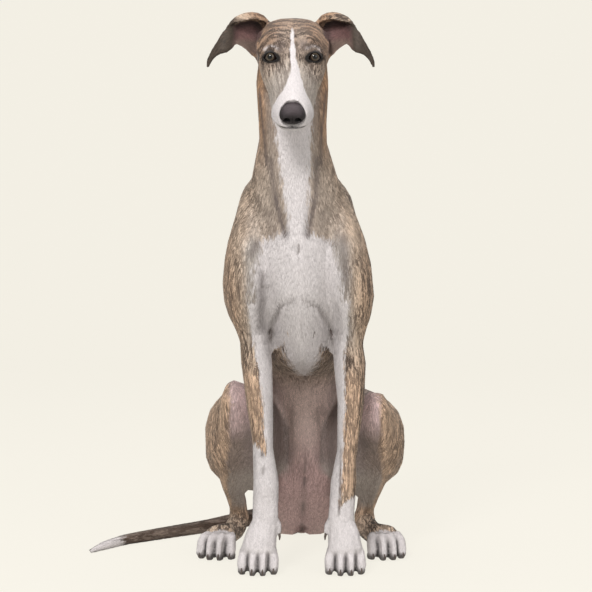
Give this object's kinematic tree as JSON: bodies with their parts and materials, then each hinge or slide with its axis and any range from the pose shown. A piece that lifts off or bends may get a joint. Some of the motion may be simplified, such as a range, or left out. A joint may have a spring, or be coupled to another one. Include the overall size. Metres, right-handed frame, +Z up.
{
  "type": "sitting greyhound",
  "caption": "Life-size short-coated brindle greyhound, sitting upright on straight forelegs, knees splayed, tail laid along the floor.",
  "frame": {"origin": "on the floor, at the middle of the bottom of the dog's box", "axes": "+Z up from the floor; the dog faces -Y; +X is the dog's own left"},
  "size_m": [0.5482, 0.657, 0.9208],
  "materials": {
    "brindle": "short flat fur, fawn with thin dark stripes",
    "white": "short flat white fur",
    "ear": "thin skin with fine dark fur",
    "nose": "moist dark leather of the nose",
    "eye": "wet, clear",
    "claw": "smooth horn",
    "belly": "nearly bare skin"
  },
  "bodies": {
    "root": {"belly": "belly", "chest": "brindle", "claw_front_left_1": "claw", "claw_front_left_2": "claw", "claw_front_left_3": "claw", "claw_front_left_4": "claw", "claw_front_left_5": "claw", "claw_front_right_1": "claw", "claw_front_right_2": "claw", "claw_front_right_3": "claw", "claw_front_right_4": "claw", "claw_front_right_5": "claw", "claw_hind_left_1": "claw", "claw_hind_left_2": "claw", "claw_hind_left_3": "claw", "claw_hind_left_4": "claw", "claw_hind_right_1": "claw", "claw_hind_right_2": "claw", "claw_hind_right_3": "claw", "claw_hind_right_4": "claw", "ear_left": "ear", "ear_right": "ear", "eye_left": "eye", "eye_right": "eye", "forearm_left": "brindle", "forearm_right": "brindle", "front_foot_left": "white", "front_foot_right": "white", "head": "brindle", "hind_foot_left": "white", "hind_foot_right": "white", "lower_jaw": "white", "neck": "brindle", "nose": "nose", "rump": "brindle", "shank_left": "brindle", "shank_right": "brindle", "tail_end": "brindle", "tail_middle": "brindle", "tail_root": "brindle", "tail_tip": "white", "thigh_left": "brindle", "thigh_right": "brindle", "upper_arm_left": "brindle", "upper_arm_right": "brindle"}
  },
  "joints": []
}
